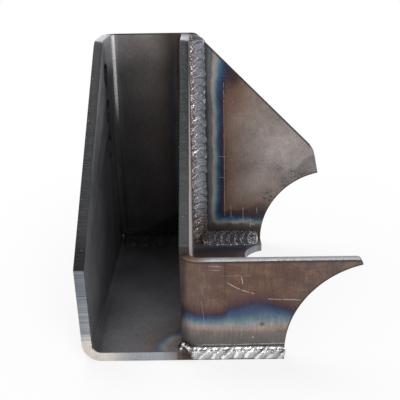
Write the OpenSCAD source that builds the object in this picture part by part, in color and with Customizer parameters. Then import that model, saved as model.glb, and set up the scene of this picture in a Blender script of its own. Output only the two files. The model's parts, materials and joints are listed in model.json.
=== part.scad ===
// Weld-on track bar bracket for a round axle tube.
// Two folded plates, joined by fillet welds, hold the track bar's eye between two walls.
//
// Building frame: x runs right from the left wall's inner face, y runs back from the
// back plate's front face, z runs up from the floor's top face. Everything is moved at
// the end, so that the part stands on z = 0, centred on x and y.

/* [Plate] */
// Thickness of the steel plate
plate_t = 4.76; // [3:0.01:6.5]
// Inside radius of every bend
bend_r = 4.5; // [3:0.1:6]
// Open seam where the edges of the folded main plate meet
seam_gap = 0.4; // [0.2:0.1:1]

/* [Walls] */
// Clear gap between the two walls
wall_gap = 41.3; // [34:0.1:56]
// Height of the walls and the back plate above the floor
wall_h = 130.3; // [120:0.1:150]
// Depth of the floor in front of the back plate
floor_l = 128.8; // [115:0.1:145]
// Length of the level top edge of each wall
top_l = 30.9; // [26:0.1:40]
// Rounding of the walls' top front corners
top_r = 10; // [4:0.5:14]
// Height of the left wall's nose, where its taper ends
nose_h = 44.4; // [38:0.1:52]
// How far the left wall's nose stands in front of the floor
nose_reach = 3.5; // [1:0.1:6]

/* [Track bar bolt holes] */
// Diameter of the bolt holes
bolt_hole_d = 13.5; // [10:0.1:16]
// Number of bolt holes in the row
bolt_hole_count = 3; // [1:1:3]
// Distance from one bolt hole to the next
bolt_hole_pitch = 20; // [17:0.5:22]
// Height of the lowest bolt hole above the floor
bolt_hole_h = 71.3; // [66:0.1:74]
// Distance of the bolt holes in front of the back plate
bolt_hole_y = 28.5; // [24:0.1:32]

/* [Axle saddle] */
// Diameter of the axle tube
axle_d = 88.9; // [80:0.1:96]
// Distance of the axle's axis from the left wall's inner face
axle_x = 133.9; // [126:0.1:142]
// Height of the axle's axis above the floor
axle_h = 0.5; // [-1:0.1:2]

/* [Gusset] */
// Distance from the left wall at which the gusset's slope leaves the top edge
gusset_x = 49.5; // [44:0.1:56]
// Fall of the gusset's slope
gusset_angle = 44.5; // [40:0.5:50]
// Angle round the axle at which the gusset's end is cut
gusset_end = 102; // [98:0.5:112]
// Rounding of the gusset's outer corner
gusset_r = 12; // [6:0.5:14]
// Rounding where the slope leaves the top edge
gusset_top_r = 5; // [2:0.5:8]

/* [Flange] */
// Height of the front flange above the floor
flange_h = 46; // [45:0.1:50]
// Angle round the axle at which the flange's nose is cut
flange_end = 104; // [102:0.5:112]
// Rounding of the flange's nose
flange_r = 2.2; // [1:0.1:3]
// How far the right wall's blunt tip reaches past the start of the flange's bend
tip_run = 3.5; // [1:0.5:5]
// Width of the relief slit between that tip and the bend
slit_w = 1; // [0.6:0.1:2]
// Run of the relief slit behind the start of the bend
slit_run = 1.5; // [1:0.5:5]

/* [Floor] */
// Depth of the scallop in the floor's right edge
scallop_depth = 11.5; // [8:0.5:15]
// Corner radius of the scallop
scallop_r = 17; // [15:0.5:22]
// Width of the floor's ears at the gusset and at the flange
ear_w = 10; // [8:0.5:16]

/* [Welds] */
// Leg of the wall weld on the gusset
wall_weld_leg = 9; // [6:0.5:11]
// Leg of the wall weld on the wall
wall_weld_depth = 7; // [5:0.5:9]
// Leg of the floor welds on the floor
floor_weld_leg = 10.4; // [6:0.1:12]
// Leg of the floor welds on the back plate
floor_weld_rise = 4.9; // [3.5:0.1:7]
// Rise of the bead along the flange's foot above the floor's top face
flange_weld_rise = 2.4; // [1.5:0.1:4]
// Distance at which the flange's bead starts ahead of its flat
flange_weld_lead = 5.5; // [0:0.5:7]
// Distance at which the weld inside the gap starts from the left wall
seam_weld_x = 7; // [5:0.5:14]
// Crown of the fillet beads above a flat fillet
bead_crown = 1.6; // [0.8:0.1:2.4]
// Distance from one ripple to the next in the wall weld
wall_weld_pitch = 5.4; // [4:0.1:8]
// Distance from one ripple to the next in the other welds
weld_pitch = 4.4; // [3.5:0.1:7]
// Depth of the ripples
ripple = 0.55; // [0.2:0.05:0.8]
// Radius of the tack weld at the foot of the flange's bend
tack_r = 4.8; // [4:0.1:6]
// Clear distance of a bead's end from what lies beyond it
weld_clear = 0.3; // [0.2:0.1:1]

/* [Hidden] */
$fn = 96;

// Room by which a cutting shape reaches past what it cuts
past = 1;
// Points along one ripple of a bead
ripple_points = 4;
// How far the flange bead stays above the floor's underside
flange_weld_lift = 0.3;
// How far the flange bead's axis lies behind the front face
flange_weld_sink = 1;

// Main places in the building frame
axle = [axle_x, axle_h];
axle_r = axle_d / 2;
floor_x = axle_x - axle_r;
side_x = wall_gap + plate_t;
bend_out = bend_r + plate_t;
flange_x = side_x + bend_r;
bend_y = floor_l - bend_out;
nose_y = floor_l + nose_reach;
slit_z = flange_h + slit_w;

function unit(v) = v / norm(v);
function cross2(a, b) = a[0] * b[1] - a[1] * b[0];
function around(deg) = [cos(deg), sin(deg)];

// Where the line through p along u crosses the line through q along v
function crossing(p, u, q, v) = p + u * cross2(q - p, v) / cross2(u, v);

// Outline corners of the gusset and of the flange
slope_dir = around(-gusset_angle);
gusset_top = [gusset_x, wall_h];
gusset_corner = crossing(gusset_top, slope_dir, axle, around(gusset_end));
gusset_tip = axle + around(gusset_end) * axle_r;
flange_corner = crossing([0, flange_h], [1, 0], axle, around(flange_end));

// Corner of the part's box in the building frame, and the point that becomes the origin
reach_x = max(gusset_tip[0], gusset_corner[0]);
origin = [(reach_x - plate_t) / 2, (plate_t - nose_y) / 2, -plate_t];

// Waste outside a rounding of radius r at corner p, between edges that leave along u and v
module corner_waste(p, u, v, r) {
  half = acos(u * v) / 2;
  centre = p + unit(u + v) * r / sin(half);
  difference() {
    polygon([p - unit(u + v) * past, p + u * r / tan(half), centre, p + v * r / tan(half)]);
    translate(centre) circle(r);
  }
}

// A quarter bend of the plate about z, from +x round to +y
module bend(height) {
  rotate_extrude(angle = 90) translate([bend_r, 0]) square([plate_t, height]);
}

// Puts an outline drawn as depth and height on a wall, filling x from -plate_t to 0
module as_wall() {
  rotate([90, 0, -90]) linear_extrude(plate_t) children();
}

// Puts an outline drawn as x and z on an upright plate, filling y from -plate_t to 0
module as_upright() {
  rotate([90, 0, 0]) linear_extrude(plate_t) children();
}

// Side view shared by both walls, with the front edge of the left wall
module wall_outline() {
  taper = unit([nose_y, nose_h] - [top_l, wall_h]);
  difference() {
    polygon([[0, 0], [0, wall_h], [top_l, wall_h], [nose_y, nose_h], [floor_l, bend_r], [floor_l, 0]]);
    corner_waste([top_l, wall_h], [-1, 0], taper, top_r);
  }
}

// The row of track bar bolt holes, through both walls
module bolt_holes() {
  for (i = [0 : bolt_hole_count - 1])
    translate([-plate_t - past, -bolt_hole_y, bolt_hole_h + i * bolt_hole_pitch])
      rotate([0, 90, 0])
        cylinder(d = bolt_hole_d, h = wall_gap + 2 * plate_t + 2 * past);
}

// Flat part of the left wall, clear of its two bends
module left_wall() {
  as_wall() difference() {
    wall_outline();
    translate([-past, -past]) square([bend_r + past, wall_h + 2 * past]);
    translate([-past, -past]) square([nose_y + 2 * past, bend_r + past]);
  }
}

// Bend from the left wall down into the floor, on to the back plate's rear face
module floor_bend() {
  translate([bend_r, plate_t, bend_r])
    rotate([90, 0, 0]) rotate([0, 0, 180])
      bend(floor_l + plate_t);
}

// Bend from the left wall round into the back plate, above the floor's bend
module back_bend() {
  z0 = bend_r + seam_gap;
  translate([bend_r, -bend_r, z0])
    rotate([0, 0, 90])
      bend(wall_h - z0);
}

// Floor with the scallop between its two ears
module floor_plate() {
  scallop_x = floor_x - scallop_depth + scallop_r;
  scallop_y = ear_w + sqrt(scallop_r * scallop_r - pow(scallop_r - scallop_depth, 2));
  translate([0, 0, -plate_t]) linear_extrude(plate_t) difference() {
    translate([bend_r, -floor_l]) square([floor_x - bend_r, floor_l + plate_t]);
    for (y = [scallop_y, floor_l - scallop_y])
      translate([scallop_x, -y]) circle(scallop_r);
    translate([floor_x - scallop_depth, scallop_y - floor_l])
      square([scallop_r, floor_l - 2 * scallop_y]);
  }
}

// Back plate that runs on past the side plate as the gusset over the axle.
// Its lower left corner is rounded to close the corner inside the floor's bend.
module back_plate() {
  end_dir = around(gusset_end);
  translate([0, plate_t, 0]) as_upright() {
    difference() {
      polygon([
        [bend_r, seam_gap], [bend_r, wall_h], gusset_top, gusset_corner,
        axle + end_dir * axle_r / 2, [axle_x - axle_r / 2, seam_gap]
      ]);
      corner_waste(gusset_top, [-1, 0], slope_dir, gusset_top_r);
      corner_waste(gusset_corner, -slope_dir, -end_dir, gusset_r);
      translate(axle) circle(axle_r);
    }
    intersection() {
      translate([bend_r, bend_r]) circle(bend_r - seam_gap);
      square(bend_r);
    }
  }
}

// Left wall, floor and back plate with its gusset, folded from one plate
module main_plate() {
  color("dimgray") {
    difference() {
      union() {
        left_wall();
        floor_bend();
        back_bend();
      }
      bolt_holes();
    }
    floor_plate();
    back_plate();
  }
}

// Flat part of the right wall, with the slit that frees the flange's bend
module right_wall() {
  translate([side_x, 0, 0]) as_wall() difference() {
    wall_outline();
    translate([bend_y + tip_run, -past]) square([floor_l, wall_h + past]);
    translate([bend_y, -past]) square([floor_l, slit_z + past]);
    translate([bend_y - slit_run, flange_h]) square([floor_l, slit_w]);
  }
}

// Flat part of the flange, cut to the axle tube
module flange() {
  end_dir = around(flange_end);
  translate([0, plate_t - floor_l, 0]) as_upright() difference() {
    polygon([
      [flange_x, 0], [flange_x, flange_h], flange_corner,
      axle + end_dir * axle_r / 2, [axle_x - axle_r / 2, 0]
    ]);
    corner_waste(flange_corner, [-1, 0], -end_dir, flange_r);
    translate(axle) circle(axle_r);
  }
}

// Right wall and front flange, folded from one plate
module side_plate() {
  color("slategray") {
    difference() {
      right_wall();
      bolt_holes();
    }
    translate([flange_x, -bend_y, 0]) rotate([0, 0, 180]) bend(flange_h);
    flange();
  }
}

// Radius of the arc with the given crown over a fillet's two legs, and the arc's centre
function bead_r(legs, crown) = (legs * legs / 4 + crown * crown) / (2 * crown);
function bead_centre(legs, crown) =
  legs / 2 - unit([legs[1], legs[0]]) * (bead_r(legs, crown) - crown);

// Half section along a rippled bead: [radius, place] points that swell once in each ripple
function ripple_outline(r, length, pitch) =
  let (count = max(1, round(length / pitch)), steps = count * ripple_points)
  [for (i = [0 : steps])
    let (swell = abs(sin(180 * i / ripple_points)), at_end = i == 0 || i == steps)
    [r - ripple * (1 - swell) - (at_end ? ripple : 0), length * i / steps]];

// A rippled round bar about z
module ripple_bar(r, length, pitch) {
  rotate_extrude()
    polygon(concat([[0, 0]], ripple_outline(r, length, pitch), [[0, length]]));
}

// A rippled fillet along z in the corner between the planes x = 0 and y = 0
module fillet_bead(legs, length, pitch) {
  centre = bead_centre(legs, bead_crown);
  intersection() {
    translate([centre[0], centre[1], 0]) ripple_bar(bead_r(legs, bead_crown), length, pitch);
    cube([legs[0] + past, legs[1] + past, length]);
  }
}

// A floor fillet from x0 to x1, in the corner of the back plate and the floor
module floor_bead(x0, x1) {
  translate([x0, 0, 0]) rotate([0, 90, 0]) rotate([0, 0, 180])
    fillet_bead([floor_weld_rise, floor_weld_leg], x1 - x0, weld_pitch);
}

// Upright weld between the right wall and the gusset
module wall_weld() {
  color("silver") translate([side_x, 0, 0]) mirror([0, 1, 0])
    fillet_bead([wall_weld_leg, wall_weld_depth], wall_h - bead_crown, wall_weld_pitch);
}

// Weld between the gusset and the floor
module gusset_weld() {
  color("silver") floor_bead(side_x + wall_weld_leg + weld_clear, floor_x - bead_crown);
}

// Weld between the back plate and the floor, inside the gap for the track bar
module seam_weld() {
  color("silver") floor_bead(seam_weld_x, wall_gap - weld_clear);
}

// Weld along the flange's foot, over the floor's front edge
module flange_weld() {
  height = plate_t - flange_weld_lift + flange_weld_rise;
  r = norm([height / 2, flange_weld_sink]);
  x0 = flange_x - flange_weld_lead;
  length = floor_x - bead_crown - x0;
  mid_z = flange_weld_rise - height / 2;
  color("silver") intersection() {
    translate([x0, flange_weld_sink - floor_l, mid_z]) rotate([0, 90, 0])
      ripple_bar(r, length, weld_pitch);
    translate([x0, -floor_l - 2 * r, mid_z - 2 * r]) cube([length, 2 * r, 4 * r]);
  }
}

// Tack weld on the floor in front of the flange's bend, inside its outer corner
module corner_tack() {
  centre = [flange_x, -bend_y] - [1, 1] * bend_out * cos(45);
  color("silver") difference() {
    intersection() {
      translate([centre[0], centre[1], 0]) sphere(tack_r);
      translate([centre[0] - tack_r, -floor_l, 0]) cube([flange_x - centre[0] + tack_r, floor_l, tack_r]);
    }
    translate([flange_x, -bend_y, -past]) cylinder(r = bend_out, h = tack_r + 2 * past);
    translate([wall_gap, -bend_y, -past]) cube([2 * tack_r, floor_l, tack_r + 2 * past]);
  }
}

translate(-origin) main_plate();
translate(-origin) side_plate();
translate(-origin) wall_weld();
translate(-origin) gusset_weld();
translate(-origin) seam_weld();
translate(-origin) flange_weld();
translate(-origin) corner_tack();
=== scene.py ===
"""A welded track bar bracket of folded plate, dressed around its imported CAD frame.

The plates keep the CAD shape and get rounded cut edges, mill scale and the heat tint of the welds.
The beads are swept by a Geometry Nodes tree that lays one ripple over the next.
"""

import json
import math

import bmesh
import bpy
from bpy.props import FloatProperty, FloatVectorProperty, IntProperty, PointerProperty
from mathutils import Matrix, Vector, noise


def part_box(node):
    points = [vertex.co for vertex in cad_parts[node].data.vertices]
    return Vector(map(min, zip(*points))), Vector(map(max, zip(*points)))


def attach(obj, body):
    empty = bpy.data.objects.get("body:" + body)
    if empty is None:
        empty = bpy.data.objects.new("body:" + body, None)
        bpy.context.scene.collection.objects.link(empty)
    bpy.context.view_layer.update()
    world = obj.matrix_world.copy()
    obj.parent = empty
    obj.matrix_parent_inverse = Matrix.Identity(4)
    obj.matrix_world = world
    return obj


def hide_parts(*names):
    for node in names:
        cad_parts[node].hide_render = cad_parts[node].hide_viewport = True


bl_info = {
    "name": "Track Bar Bracket",
    "version": (1, 0, 0),
    "blender": (4, 5, 0),
    "location": "View3D > Sidebar > Bracket",
    "description": "Dresses a welded plate bracket with mill scale, heat tint and weld beads",
    "category": "Add Mesh",
}

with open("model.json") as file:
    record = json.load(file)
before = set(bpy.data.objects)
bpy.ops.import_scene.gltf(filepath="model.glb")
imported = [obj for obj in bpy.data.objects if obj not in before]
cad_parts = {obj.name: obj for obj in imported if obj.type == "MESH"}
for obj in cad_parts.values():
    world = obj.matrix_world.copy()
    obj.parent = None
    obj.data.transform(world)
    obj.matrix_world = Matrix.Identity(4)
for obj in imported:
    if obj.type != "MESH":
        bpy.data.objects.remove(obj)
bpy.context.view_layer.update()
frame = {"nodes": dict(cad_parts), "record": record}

MM = 0.001
X, Y, Z = range(3)
BODY = "root"
PLATE_SLOT = "mill_scale_plate"
WELD_SLOT = "weld_metal"

# Planes of the bracket, read from the frame, in metres
MAIN_LOW, MAIN_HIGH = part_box("main_plate")
SIDE_LOW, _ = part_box("side_plate")
PLATE = SIDE_LOW.z
LEFT_FACE = MAIN_LOW.x + PLATE
BACK_FACE = MAIN_HIGH.y - PLATE
WALL_INNER = SIDE_LOW.x
WALL_OUTER = SIDE_LOW.x + PLATE
FLANGE_FRONT = SIDE_LOW.y
FLANGE_REAR = SIDE_LOW.y + PLATE
# Inner radius of the bends
BEND_R = 4.5 * MM
# The axle tube that the saddles fit, in millimetres
SADDLE = next(m for m in frame["record"]["mounts"] if m["name"] == "axle_saddle")
TUBE_X, _, TUBE_Z = (value / MM for value in SADDLE["pos_m"])
TUBE_R = SADDLE["dims"]["r_mm"]
# The flange's top is the highest point of the side plate's front face
SIDE_POINTS = [vertex.co for vertex in frame["nodes"]["side_plate"].data.vertices]
FLANGE_TOP = max(point.z for point in SIDE_POINTS if point.y < FLANGE_FRONT + 0.1 * MM)

# The same planes in millimetres, for the materials
BACK_MM = BACK_FACE / MM
WALL_MM = WALL_OUTER / MM
WALL_INNER_MM = WALL_INNER / MM
FLANGE_MM = FLANGE_FRONT / MM
FLANGE_TOP_MM = FLANGE_TOP / MM
FLOOR_MM = PLATE / MM
LEFT_MM = LEFT_FACE / MM
BEND_MM = BEND_R / MM


def linear(level):
    """One display level from 0 to 255 as scene linear light."""
    share = level / 255
    return share / 12.92 if share <= 0.04045 else ((share + 0.055) / 1.055) ** 2.4


def tone(red, green, blue):
    """A colour given as display levels, as scene linear light."""
    return (linear(red), linear(green), linear(blue))


def opaque(colour):
    """A colour with its alpha."""
    return (*colour[:3], 1.0)


def length_value(name, description, millimetres):
    """A length that a user may change."""
    return FloatProperty(
        name=name,
        description=description,
        default=millimetres * MM,
        min=0.0,
        precision=5,
        subtype="DISTANCE",
        unit="LENGTH",
    )


def colour_value(name, description, *levels):
    """A colour that a user may change."""
    return FloatVectorProperty(
        name=name,
        description=description,
        default=tone(*levels),
        size=3,
        min=0.0,
        max=1.0,
        subtype="COLOR",
    )


def angle_value(name, description, degrees):
    """An angle that a user may change."""
    return FloatProperty(
        name=name,
        description=description,
        default=math.radians(degrees),
        subtype="ANGLE",
        unit="ROTATION",
    )


class PlateLooks(bpy.types.PropertyGroup):
    """Finish of the two folded plates."""

    edge_round: length_value("Edge round", "Width of the broken edge round each plate", 0.45)
    warm_scale: colour_value("Warm scale", "Mill scale of the back plate", 184, 174, 170)
    cool_scale: colour_value("Cool scale", "Mill scale of the walls and the floor", 98, 97, 102)
    copper: colour_value("Copper", "Flange that the weld has heated through", 108, 82, 69)
    # Lit and shaded copies of the cut steel: painted light where edges face the light, painted shade
    # along the taper and in hollows
    cut_lit: colour_value("Bright cut", "Cut edges that face the front or up", 158, 161, 168)
    cut_shaded: colour_value("Dark cut", "Cut edges along the walls' taper", 48, 50, 53)


class WeldLooks(bpy.types.PropertyGroup):
    """Shape and finish of the weld beads."""

    ripple: length_value("Ripple", "Height of one ripple over the next", 0.45)
    wall_pitch: length_value("Upright pitch", "Distance between the upright bead's ripples", 5.0)
    floor_pitch: length_value("Floor pitch", "Distance between the floor beads' ripples", 4.4)
    flange_pitch: length_value("Flange pitch", "Distance between the flange bead's ripples", 5.2)
    crown: length_value("Crown", "Swell of a fillet over its flat face", 1.5)
    spatter_small: length_value("Small spatter", "Radius of the smallest ball of spatter", 0.14)
    spatter_large: length_value("Large spatter", "Radius of the largest ball of spatter", 0.5)
    spatter_seed: IntProperty(name="Spatter seed", description="Fixes where spatter lands", default=5)
    metal: colour_value("Weld metal", "Clean weld metal", 184, 183, 185)
    soot: colour_value("Weld soot", "Oxide at the toes and in the corner", 84, 67, 59)


class StageLooks(bpy.types.PropertyGroup):
    """Camera, floor and light."""

    camera_place: FloatVectorProperty(
        name="Camera place",
        description="Where the camera stands in the bracket's frame",
        default=(-0.00741, -0.32239, 0.17711),
        size=3,
        subtype="TRANSLATION",
        unit="LENGTH",
    )
    camera_pitch: angle_value("Camera pitch", "How far the camera looks down", 20.655)
    camera_yaw: angle_value("Camera yaw", "How far the camera turns to the left", 0.284)
    camera_roll: angle_value("Camera roll", "How far the camera leans to the right", 0.905)
    lens: FloatProperty(
        name="Lens",
        description="Focal length in millimetres on a 36 mm sensor",
        default=58.28,
        subtype="DISTANCE_CAMERA",
    )
    floor_tint: colour_value("Floor", "Pale floor under the bracket", 246, 246, 246)
    sky_low: FloatProperty(name="Low light", description="Light from round the horizon", default=1.0)
    sky_high: FloatProperty(name="High light", description="Light from overhead", default=0.16)


def spelled(operation, reflected=False):
    """A method that adds a Math node for one operation on a wire and other values."""

    def added(self, *others):
        values = (*others, self) if reflected else (self, *others)
        return self.board.math(operation, *values)

    return added


class Wire:
    """A node's output that takes part in Python expressions."""

    def __init__(self, board, socket):
        self.board = board
        self.socket = socket

    __add__ = spelled("ADD")
    __radd__ = spelled("ADD", reflected=True)
    __sub__ = spelled("SUBTRACT")
    __rsub__ = spelled("SUBTRACT", reflected=True)
    __mul__ = spelled("MULTIPLY")
    __rmul__ = spelled("MULTIPLY", reflected=True)
    __truediv__ = spelled("DIVIDE")
    __rtruediv__ = spelled("DIVIDE", reflected=True)
    __pow__ = spelled("POWER")
    __rpow__ = spelled("POWER", reflected=True)
    __abs__ = spelled("ABSOLUTE")
    root = spelled("SQRT")
    floor = spelled("FLOOR")
    # The larger and the smaller of two, and the smaller rounded where they are within a reach
    most = spelled("MAXIMUM")
    least = spelled("MINIMUM")
    blend_least = spelled("SMOOTH_MIN")
    # 1 where two are within a reach of each other, and 0 elsewhere
    is_near = spelled("COMPARE")

    def __neg__(self):
        return self * -1.0

    def step(self, low, high):
        """A smooth step from 0 at low to 1 at high. It falls where low is the larger."""
        settings = {"interpolation_type": "SMOOTHSTEP"}
        sockets = {"Value": self, "From Min": low, "From Max": high}
        return self.board.add("ShaderNodeMapRange", settings, sockets)

    def parts(self):
        """The three values of a vector."""
        node = self.board.add("ShaderNodeSeparateXYZ", sockets={"Vector": self}).socket.node
        return [Wire(self.board, output) for output in node.outputs]

    def scaled(self, factor):
        """A vector times a number."""
        return self.board.add("ShaderNodeVectorMath", {"operation": "SCALE"}, {0: self, "Scale": factor})


class Board:
    """Adds nodes to one tree."""

    def __init__(self, tree):
        self.tree = tree

    def add(self, kind, settings=None, sockets=None, out=0):
        """Adds a node: its settings first, then its sockets' values or links. Gives one output."""
        node = self.tree.nodes.new(kind)
        for name, value in (settings or {}).items():
            if name == "stops":
                self.fill_ramp(node.color_ramp, value)
            else:
                setattr(node, name, value)
        for key, value in (sockets or {}).items():
            if isinstance(value, Wire):
                self.tree.links.new(value.socket, node.inputs[key])
            else:
                node.inputs[key].default_value = value
        return Wire(self, node.outputs[out]) if node.outputs else node

    @staticmethod
    def fill_ramp(ramp, stops):
        """Sets a colour ramp's stops, given as place and colour."""
        while len(ramp.elements) < len(stops):
            ramp.elements.new(1.0)
        for element, (place, colour) in zip(ramp.elements, stops):
            element.position = place
            element.color = opaque(colour)

    def math(self, operation, *values):
        """Adds a Math node, or a Vector Math node where a value is a vector."""
        vector = any(isinstance(v, Wire) and v.socket.type == "VECTOR" for v in values)
        kind = "ShaderNodeVectorMath" if vector else "ShaderNodeMath"
        return self.add(kind, {"operation": operation}, dict(enumerate(values)))

    def vector(self, x, y, z):
        """A vector from three values."""
        return self.add("ShaderNodeCombineXYZ", sockets={"X": x, "Y": y, "Z": z})

    def mix_node(self, blend, factor, first, second):
        """Adds a Mix node for two colours. Its sockets of that kind go by number."""
        settings = {"data_type": "RGBA", "blend_type": blend}
        return self.add("ShaderNodeMix", settings, {0: factor, 6: first, 7: second}, 2)

    def mixed(self, factor, first, second):
        """A colour between two."""
        pick = [c if isinstance(c, Wire) else opaque(c) for c in (first, second)]
        return self.mix_node("MIX", factor, *pick)

    def shaded(self, colour, factor):
        """A colour made lighter or darker by a factor that varies."""
        level = self.vector(factor, factor, factor)
        return self.mix_node("MULTIPLY", 1.0, colour, level)

    def noise(self, place, scale, detail=2.0, roughness=0.5):
        """Noise from 0 to 1."""
        sockets = {"Vector": place, "Scale": scale, "Detail": detail, "Roughness": roughness}
        return self.add("ShaderNodeTexNoise", {"noise_dimensions": "3D"}, sockets)


def most_of(wires):
    """The largest of several values."""
    result = wires[0]
    for wire in wires[1:]:
        result = result.most(wire)
    return result


def run_distance(point, start, end):
    """Distance from a point to a run along one axis, between two corners."""
    total = None
    for value, first, last in zip(point, start, end):
        low, high = min(first, last), max(first, last)
        if high > low:
            gap = (low - value).most(0.0) + (value - high).most(0.0)
        else:
            gap = value - low
        total = gap * gap if total is None else total + gap * gap
    return total.root()


def box_mm(node):
    """A CAD node's corners in millimetres."""
    return tuple(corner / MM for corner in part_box(node))


def tack_centre():
    """The middle of the corner tack in millimetres."""
    low, high = box_mm("corner_tack")
    return (low + high) / 2


def bead_roots():
    """The line in the corner under each bead, as two points in millimetres."""
    wall_low, wall_high = box_mm("wall_weld")
    _, gusset_high = box_mm("gusset_weld")
    seam_low, seam_high = box_mm("seam_weld")
    flange_low, flange_high = box_mm("flange_weld")
    tack = tack_centre()
    return {
        "wall": ((WALL_MM, BACK_MM, wall_low.z), (WALL_MM, BACK_MM, wall_high.z)),
        "gusset": ((WALL_MM, BACK_MM, FLOOR_MM), (gusset_high.x, BACK_MM, FLOOR_MM)),
        "seam": ((seam_low.x, BACK_MM, FLOOR_MM), (seam_high.x, BACK_MM, FLOOR_MM)),
        "flange": ((flange_low.x, FLANGE_MM, FLOOR_MM), (flange_high.x, FLANGE_MM, FLOOR_MM)),
        "tack": ((tack.x, tack.y, FLOOR_MM), (tack.x, tack.y, FLOOR_MM)),
    }


# Marks on the plates in millimetres: the line scribed down the gusset, and the die mark on the flange
SCRIBE_X = 5.9
SCRIBE_TOP = 106.5
DIE_MARK_X = 1.85
# The gusset's sloping edge, as its top end in millimetres and its angle
SLOPE_X = -10.45
SLOPE_Z = MAIN_HIGH.z / MM
SLOPE_ANGLE = math.radians(44.5)
# Where the flange's heat reached highest, and half the width of that hump, in millimetres
HUMP_X = 15.5
HUMP_HALF = 27.0
# Distance from a weld's root in millimetres, and the colour that its heat leaves there
TINT_SPAN = 54.0
TINTS = (
    (0.0, (96, 90, 87)),
    (8.5, (114, 109, 107)),
    (10.6, (130, 117, 112)),
    (12.2, (166, 142, 133)),
    (13.9, (150, 152, 152)),
    (15.6, (106, 128, 138)),
    (17.4, (64, 84, 118)),
    (19.0, (58, 52, 76)),
    (20.8, (88, 62, 62)),
    (24.0, (110, 85, 72)),
    (32.0, (128, 108, 96)),
    (50.0, (164, 152, 146)),
)
# On the gusset the darkest stop, next to the bead's toe, is partly heat tint and partly painted shadow
# of the bead's edge
GUSSET_TINTS = (
    (8.6, (54, 50, 50)),
    (10.0, (66, 66, 68)),
    (10.9, (90, 96, 99)),
    (12.0, (96, 94, 95)),
    (12.8, (156, 132, 129)),
    (13.7, (152, 148, 144)),
    (14.7, (112, 138, 142)),
    (15.8, (60, 95, 119)),
    (17.1, (36, 54, 92)),
    (18.3, (40, 32, 50)),
    (20.7, (62, 40, 40)),
    (23.0, (107, 82, 67)),
    (28.0, (123, 105, 95)),
    (38.0, (138, 126, 120)),
    (54.0, (162, 152, 149)),
)


def from_slope(x, z):
    """Distance from the gusset's sloping edge in millimetres."""
    return (SLOPE_X - x) * math.sin(SLOPE_ANGLE) + (SLOPE_Z - z) * math.cos(SLOPE_ANGLE)


def heat_distance(board, place):
    """Distance from the nearest weld in millimetres, stretched as its heat spread."""
    point = place.parts()
    x, _, z = point
    root = {name: run_distance(point, *ends) for name, ends in bead_roots().items()}
    inside = x.step(WALL_INNER_MM + 1.0, WALL_INNER_MM - 1.0)

    beyond_scribe = x.step(SCRIBE_X - 0.15, SCRIBE_X + 0.25) * z.step(17.0, 19.0)
    beyond_scribe = beyond_scribe * z.step(SCRIBE_TOP + 2.0, SCRIBE_TOP - 10.0)
    wall = root["wall"] * (1.0 + inside * 0.6) + beyond_scribe * 1.9
    wall = wall - from_slope(x, z).step(22.0, 0.0) * (wall - 8.5).most(0.0) * 0.3 * (1.0 - inside)
    gusset = root["gusset"] + 2.4 + (board.noise(place, 0.3, 3.0) - 0.5) * 4.0

    from_peak = (x - HUMP_X) / HUMP_HALF
    hump = x.step(DIE_MARK_X - 1.5, DIE_MARK_X + 2.0) * (1.0 - from_peak * from_peak).most(0.0)
    flange = root["flange"] * (1.0 + inside)
    flange = flange - hump * (flange - 12.0).most(0.0) * 0.4

    nearest = wall.blend_least(gusset, 5.0).least(root["seam"] * 1.9).least(flange)
    nearest = nearest.blend_least(root["tack"] * 1.35, 2.0)
    sway = (board.noise(place, 0.055) - 0.5) * 5.0 + (board.noise(place, 0.6) - 0.5) * 0.9
    return (nearest + sway * nearest.step(3.0, 14.0)).most(0.0)


def tinted(board, heat, tints):
    """The colour that heat leaves on steel."""
    stops = [(place / TINT_SPAN, tone(*levels)) for place, levels in tints]
    return board.add("ShaderNodeValToRGB", {"stops": stops}, {"Fac": heat / TINT_SPAN})


def off_point(u, v, centre_u, centre_v):
    """Distance from a point of a flat face."""
    off_u = u - centre_u
    off_v = v - centre_v
    return (off_u * off_u + off_v * off_v).root()


def smudge(u, v, centre_u, centre_v, radius):
    """A round spot that fades towards its rim."""
    return off_point(u, v, centre_u, centre_v).step(radius, radius * 0.3)


def finish_shader(board, colour, metallic, roughness, height, depth):
    """Joins a metal's colour, gloss and relief to the material's output."""
    normal = board.add("ShaderNodeBump", None, {"Strength": 1.0, "Distance": depth, "Height": height})
    sockets = {"Base Color": colour, "Metallic": metallic, "Roughness": roughness, "Normal": normal}
    shader = board.add("ShaderNodeBsdfPrincipled", None, sockets)
    board.add("ShaderNodeOutputMaterial", None, {"Surface": shader})


def new_material(name):
    """An empty node material and its board."""
    material = bpy.data.materials.new(name)
    material.use_nodes = True
    material.node_tree.nodes.clear()
    return material, Board(material.node_tree)


def place_in_mm(board):
    """The point of the surface in the bracket's frame, in millimetres."""
    return board.add("ShaderNodeTexCoord", out="Object").scaled(1 / MM)


# Scratches as start and end on a face, in millimetres along x and z, and their half width
FLANGE_SCRATCHES = (
    ((2.8, 40.3), (9.0, 36.8), 0.16),
    ((9.0, 36.8), (15.4, 34.6), 0.16),
    ((20.8, 32.0), (36.6, 31.2), 0.14),
    ((9.0, 44.2), (9.9, 39.4), 0.15),
    ((-8.9, 31.9), (-7.3, 18.3), 0.05),
    ((0.2, 43.9), (13.9, 43.7), 0.07),
    ((-5.4, 46.8), (-0.3, 46.4), 0.11),
    ((-5.6, 48.9), (0.9, 48.4), 0.12),
)
GUSSET_SCRATCHES = (
    ((SCRIBE_X, SCRIBE_TOP), (SCRIBE_X + 0.5, 20.3), 0.15),
    ((10.4, 27.8), (10.5, 19.4), 0.16),
    ((18.1, 26.6), (18.2, 17.4), 0.20),
    ((23.3, 18.7), (22.8, 12.2), 0.22),
    ((26.9, 26.4), (27.1, 21.6), 0.18),
    ((1.7, 60.6), (7.3, 60.0), 0.14),
    ((2.9, 46.8), (7.3, 46.2), 0.14),
)
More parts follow.
